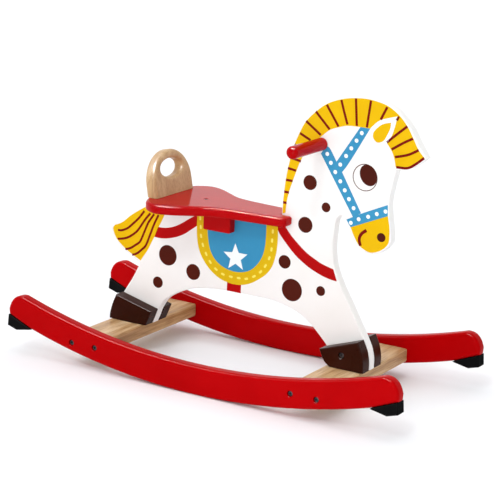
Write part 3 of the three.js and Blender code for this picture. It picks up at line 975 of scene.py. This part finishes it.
def fastener_profile(size):
    tip_ease = 0.4 * MM
    tip = [
        (0, -size.length),
        (size.shank - tip_ease, -size.length),
        (size.shank, -size.length + tip_ease),
        (size.shank, -size.head_height),
    ]
    if size.countersunk:
        head = [(size.head, -SMALL_EASE), (size.head - SMALL_EASE, 0)]
    else:
        dome = arc((size.head - BOLT_DOME, -BOLT_DOME), BOLT_DOME, 0, math.pi / 2, 6)
        head = [(size.head, -size.head_height), *[(p.x, p.y) for p in dome]]
    return [*tip, *head, (0, 0)]


def hole_profile(size, sink, ease):
    """The hole that a fastener needs. Its mouth is eased where it leaves the wood."""
    shank = size.shank + GAP
    head = size.head + GAP
    neck = [(shank, -size.head_height)]
    if not size.countersunk:
        neck = [(shank, -size.head_height - GAP), (head, -size.head_height - GAP)]
    rim = [(head, max(sink - ease, LEAST_STEP)), (head + ease, sink), (head + ease, BEYOND)]
    bottom = [(0, -size.length - GAP), (shank, -size.length - GAP)]
    return [*bottom, *neck, (head, 0), *rim, (0, BEYOND)]


def hex_recess():
    return arc((0, 0), RECESS_RADIUS, 0, 2 * math.pi, 6)[:-1]


def cross_recess():
    half = 0.55 * MM
    quarter = [Vector((RECESS_RADIUS, -half)), Vector((RECESS_RADIUS, half)), Vector((half, half))]
    points = []
    for i in range(4):
        turn = Matrix.Rotation(i * math.pi / 2, 2)
        points += [turn @ p for p in quarter]
    return points


def make_pattern(size):
    """One bolt or screw at the origin, with the recess for its key or driver."""
    made = turned("pattern", fastener_profile(size), Matrix.Identity(4))
    recess = hex_recess() if size.recess == "hex" else cross_recess()
    cut_prism(made, recess, -RECESS_DEPTH, RECESS_DEPTH)
    return made


patterns = {}


def fasten(name, size, head_at, outward, pieces, sink, ease=HOLE_EASE):
    """Puts in a fastener whose head faces outward, in a hole through every piece that it passes."""
    place = aim(head_at, outward)
    if size not in patterns:
        patterns[size] = make_pattern(size)
    data = patterns[size].data.copy()
    data.transform(place)
    made = bpy.data.objects.new(f"fixing_{name}", data)
    bpy.context.scene.collection.objects.link(made)
    finish(made, STEEL, "steel", name)
    drill(pieces, hole_profile(size, sink, ease), place)


def bar_centre(end):
    low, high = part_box(f"{end}_crossbar")
    return (low.x + high.x) / 2


def bolt_rocker(end, side):
    """Bolts through the rocker run into barrel nuts, which go in from under the crossbar."""
    for row, way in ENDS.items():
        x = bar_centre(end) + way * BOLT_OFFSET
        nut_at = (x, SIDES[side] * (ROCKER_INSIDE - NUT_INSET), BAR_MIDDLE)
        nut_hole = bore(NUT_RADIUS + GAP, -BEYOND, NUT_HOLE_TOP)
        drill([bars[end]], nut_hole, Matrix.Translation(nut_at))
        fasten(
            f"{end}_{side}_rocker_bolt_{row}",
            ROCKER_BOLT,
            (x, SIDES[side] * (ROCKER_OUTSIDE - BOLT_SINK), BAR_MIDDLE),
            (0, SIDES[side], 0),
            [rockers[side], bars[end]],
            BOLT_SINK,
        )


def screw_hoof(end, side):
    """From underneath, with the head just inside the crossbar."""
    fasten(
        f"{end}_{side}_crossbar_screw",
        BAR_SCREW,
        (bar_centre(end), SIDES[side] * MIDDLE_OF_HOOF, BAR_UNDERSIDE + BAR_SCREW_SINK),
        (0, 0, -1),
        [bars[end], hooves[end, side]],
        BAR_SCREW_SINK,
    )


def screw_pad(end, side):
    """Square to the flat that the pad sits on."""
    flat = (PAD_END - PAD_START).normalized()
    head = PAD_START + flat * PAD_SCREW_ALONG + Vector((flat.y, -flat.x)) * PAD_SCREW_DEPTH
    fasten(
        f"{end}_{side}_pad_screw",
        PAD_SCREW,
        (ENDS[end] * head.x, SIDES[side] * MIDDLE_OF_ROCKER, head.y),
        (ENDS[end] * flat.y, 0, -flat.x),
        [pads[end, side], rockers[side]],
        PAD_SCREW_SINK,
        LEAST_STEP,
    )


def bolt_hooves(end):
    """One bolt through each foot, the front one from the right and the rear one from the left."""
    side, x, z = HOOF_BOLTS[end]
    fasten(
        f"{end}_hoof_bolt",
        HOOF_BOLT,
        (x, SIDES[side] * (HOOF_OUTSIDE - BOLT_SINK), z),
        (0, SIDES[side], 0),
        [hooves[end, "right"], panel, hooves[end, "left"]],
        BOLT_SINK,
    )


def bolt_cleats():
    low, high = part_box("left_seat_cleat")
    fasten(
        "seat_cleat_bolt",
        CLEAT_BOLT,
        ((low.x + high.x) / 2, high.y - BOLT_SINK, CLEAT_BOLT_HEIGHT),
        (0, 1, 0),
        [cleats["left"], panel, cleats["right"]],
        BOLT_SINK,
    )


def drill_for_dowel(side, row):
    low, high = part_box(f"{side}_cleat_dowel_{row}")
    half = (high.z - low.z) / 2 + GAP
    profile = bore(DOWEL_RADIUS + GAP, -half, half)
    drill([cleats[side], seat], profile, Matrix.Translation((low + high) / 2))


def screw_seat():
    """From above into the horse board."""
    fasten(
        "seat_screw",
        SEAT_SCREW,
        (SEAT_SCREW_X, 0, SEAT_TOP - SEAT_SCREW_SINK),
        (0, 0, 1),
        [seat, panel],
        SEAT_SCREW_SINK,
        SMALL_EASE,
    )


def screw_backrest(side):
    """From below, along the middle of the leaning board."""
    lean = Vector((math.sin(BACKREST_LEAN), math.cos(BACKREST_LEAN)))
    head_z = SEAT_UNDERSIDE + BACKREST_SCREW_SINK
    middle = Vector((BACKREST_X, SEAT_TOP)) - BACKREST_THICKNESS / 2 * Vector((lean.y, lean.x))
    head_x = middle.x + (middle.y - head_z) * math.tan(BACKREST_LEAN)
    fasten(
        f"{side}_backrest_screw",
        BACKREST_SCREW,
        (head_x, SIDES[side] * BACKREST_SCREW_Y, head_z),
        (lean.x, 0, -lean.y),
        [seat, backrest],
        BACKREST_SCREW_SINK,
        SMALL_EASE,
    )


# ------------------------ the horse, put together

panel = make_panel()
rockers = {side: make_rocker(side) for side in SIDES}
bars = {end: make_crossbar(end) for end in ENDS}
hooves = {(end, side): make_hoof(end, side) for end in FEET for side in SIDES}
pads = {(end, side): make_pad(end, side) for end in ENDS for side in SIDES}
seat = make_seat()
cleats = {side: make_cleat(side) for side in SIDES}
backrest = make_backrest()

for side in SIDES:
    make_handle(side)
drill_for_stud()

for end in ENDS:
    for side in SIDES:
        bolt_rocker(end, side)
        screw_hoof(end, side)
for end in ENDS:
    for side in SIDES:
        screw_pad(end, side)
for end in HOOF_BOLTS:
    bolt_hooves(end)
bolt_cleats()
for side in SIDES:
    for row in ENDS:
        drill_for_dowel(side, row)
screw_seat()
for side in SIDES:
    screw_backrest(side)
for pattern in patterns.values():
    discard(pattern)

finish(panel, WHITE, "white_lacquer", "horse_panel")
finish(seat, RED, "red_lacquer", "seat_board")
finish(backrest, BACKREST_WOOD, "bare_wood", "backrest")
for side in SIDES:
    finish(rockers[side], SATIN_RED, "red_lacquer", f"{side}_rocker")
    finish(cleats[side], RED, "red_lacquer", f"{side}_seat_cleat")
for end in ENDS:
    finish(bars[end], BAR_WOOD, "bare_wood", f"{end}_crossbar")
    for side in SIDES:
        finish(hooves[end, side], BROWN, "brown_lacquer", f"{end}_{side}_hoof")
        finish(pads[end, side], RUBBER, "black_rubber", f"{end}_{side}_pad")
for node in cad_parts:
    if "dowel" in node:
        repaint(node, BAR_WOOD)
    if "barrel_nut" in node or node == "handle_stud":
        repaint(node, STEEL)

# ------------------------ the print on the panel's two faces


def print_ink(name, patches, layer, material, slot_name):
    """One ink of the picture, on both faces. Its plates start inside the board."""
    for side, sign in SIDES.items():
        mesh = bmesh.new()
        for patch in patches:
            prism(mesh, patch, PANEL_FACE - INK_SINK, PANEL_FACE + layer * INK_STEP)
        mesh.transform(Matrix.Scale(-sign, 4, (0, 1, 0)) @ UPRIGHT)
        made = to_object(f"print_{name}_{side}", mesh)
        finish(made, material, slot_name)


def print_mane():
    strands = [stroke(s, MANE_PEN) for s in MANE_STRANDS]
    print_ink("mane", [outline(MANE)], 3, YELLOW_INK, "print_yellow")
    print_ink("mane_strands", strands, 4, MAROON_INK, "print_maroon")


def print_ear():
    print_ink("ear_rim", [outline(EAR_RIM)], 4, WHITE_INK, "print_white")
    print_ink("ear_inside", [outline(EAR_INSIDE)], 5, YELLOW_INK, "print_yellow")


def print_eye():
    pupil = ellipse(PUPIL, *PUPIL_RADII, PUPIL_TILT)
    print_ink("eye_line", ring_sectors(EYE, *EYE_LINE), 1, BROWN_INK, "print_brown")
    print_ink("pupil", [pupil], 2, BROWN_INK, "print_brown")


def print_bridle():
    studs = [ellipse(p, BRIDLE_STUD_RADIUS, BRIDLE_STUD_RADIUS, steps=24) for p in BRIDLE_STUDS]
    print_ink("bridle_crown", [outline(CROWN_STRAP)], 1, BLUE_INK, "print_blue")
    print_ink("bridle_cheek", [outline(CHEEK_STRAP)], 2, BLUE_INK, "print_blue")
    print_ink("bridle_nose", [outline(NOSE_BAND)], 3, BLUE_INK, "print_blue")
    print_ink("bridle_studs", studs, 4, WHITE_INK, "print_white")


def print_muzzle():
    print_ink("muzzle", [outline(MUZZLE)], 1, YELLOW_INK, "print_yellow")
    print_ink("nostril", [ellipse(NOSTRIL, *NOSTRIL_RADII)], 2, BROWN_INK, "print_brown")
    print_ink("smile", [stroke(SMILE, SMILE_PEN)], 2, MAROON_INK, "print_maroon")


def print_spots():
    spots = [ellipse((x, z), radius, radius) for x, z, radius in SPOTS]
    print_ink("spots", spots, 1, BROWN_INK, "print_brown")


def print_harness():
    straps = [outline(strap) for strap in (RUMP_STRAP, BREAST_STRAP, GIRTH)]
    print_ink("harness", straps, 1, RED_INK, "print_red")


def print_saddle():
    print_ink("saddle_border", [outline(SADDLE)], 2, SADDLE_INK, "print_yellow")
    print_ink("saddle_cloth", [outline(SADDLE_CLOTH)], 3, BLUE_INK, "print_blue")
    print_ink("stitches", stitches(STITCHES), 3, PALE_INK, "print_yellow")
    print_ink("star", [star(STAR, *STAR_RADII, STAR_TILT)], 4, WHITE_INK, "print_white")


def print_tail():
    strands = [stroke(s, TAIL_PEN) for s in TAIL_STRANDS]
    print_ink("tail", [outline(TAIL)], 1, YELLOW_INK, "print_yellow")
    print_ink("tail_strands", strands, 2, MAROON_INK, "print_maroon")


print_mane()
print_ear()
print_eye()
print_bridle()
print_muzzle()
print_spots()
print_harness()
print_saddle()
print_tail()

# ------------------------ floor, light and camera

BRIGHT_SIDE = Vector((-0.7, 0.7, 0)).normalized()  # the white wall behind the horse


def make_floor():
    reach = 14.0
    mesh = bmesh.new()
    corners = [(-reach, -reach), (reach, -reach), (reach, reach), (-reach, reach)]
    mesh.faces.new([mesh.verts.new((x, y, 0)) for x, y in corners])
    floor = to_object("floor", mesh)
    material, tree, shader = new_material("floor", "#f2f4f7")
    cloud = ramp(tree, noise(tree, 3), [(0.3, "#f0f2f5"), (0.7, "#f4f6f9")])
    tree.links.new(cloud, shader.inputs["Base Color"])
    shader.inputs["Roughness"].default_value = 0.75
    shader.inputs["Specular IOR Level"].default_value = 0.0
    floor.data.materials.append(material)


def make_room():
    """White all round, and brightest behind the horse, where the seat's top mirrors it."""
    world = bpy.data.worlds.new("studio")
    world.use_nodes = True
    tree = world.node_tree
    background = tree.nodes["Background"]
    background.inputs["Color"].default_value = (1, 1, 1, 1)
    direction = tree.nodes.new("ShaderNodeTexCoord")
    towards = tree.nodes.new("ShaderNodeVectorMath")
    towards.operation = "DOT_PRODUCT"
    towards.inputs[1].default_value = BRIGHT_SIDE
    tree.links.new(direction.outputs["Generated"], towards.inputs[0])
    strength = spread(tree, towards.outputs["Value"], 0.4, 1.3, start=-1, end=1)
    tree.links.new(strength, background.inputs["Strength"])
    bpy.context.scene.world = world


def add_lamp(name, kind, power, at, away):
    """A lamp whose back points away from what it lights."""
    data = bpy.data.lights.new(name, kind)
    data.energy = power
    lamp = bpy.data.objects.new(name, data)
    lamp.matrix_world = aim(at, away)
    bpy.context.scene.collection.objects.link(lamp)
    return lamp


def add_fill():
    at = Vector((0.8, -3.4, 0.9))
    lamp = add_lamp("fill", "AREA", 30, at, at - Vector((0, 0, 0.2)))
    lamp.data.shape = "DISK"
    lamp.data.size = 2


def add_glint_strip():
    """A narrow lamp that only shows as fine lines along glossy edges."""
    at = Vector((-0.25, -1.05, 2.3))
    lamp = add_lamp("glints", "AREA", 800, at, at - Vector((0, 0, 0.25)))
    lamp.data.shape = "RECTANGLE"
    lamp.data.size = 2.2
    lamp.data.size_y = 0.12
    lamp.visible_diffuse = False
    lamp.visible_camera = False


def add_sun(name, comes_from, angle, strength):
    """A far-off lamp. A wide angle casts soft shadows."""
    lamp = add_lamp(name, "SUN", strength, (0, 0, 0), comes_from)
    lamp.data.angle = math.radians(angle)


def place_camera():
    """The photograph's view, found by fitting the object's measured corners."""
    azimuth = math.radians(30.131)
    elevation = math.radians(14.354)
    roll = math.radians(2.749)
    data = bpy.data.cameras.new("camera")
    data.sensor_width = 36
    data.lens = 136.551
    data.clip_end = 60
    camera = bpy.data.objects.new("camera", data)
    camera.matrix_world = (
        Matrix.Translation((1.36817, -2.35428, 0.88843))
        @ Matrix.Rotation(azimuth, 4, "Z")
        @ Matrix.Rotation(math.pi / 2 - elevation, 4, "X")
        @ Matrix.Rotation(roll, 4, "Z")
    )
    bpy.context.scene.collection.objects.link(camera)
    bpy.context.scene.camera = camera


make_floor()
make_room()
add_fill()
add_glint_strip()
add_sun("wash", (-0.25, -0.2, 0.95), 60, 0.7)
add_sun("key", (0.05, -0.64, 0.76), 10, 0.5)
add_sun("rim", (0.79, 0.43, 0.44), 10, 0.12)
place_camera()
bpy.context.scene.view_settings.view_transform = "Standard"
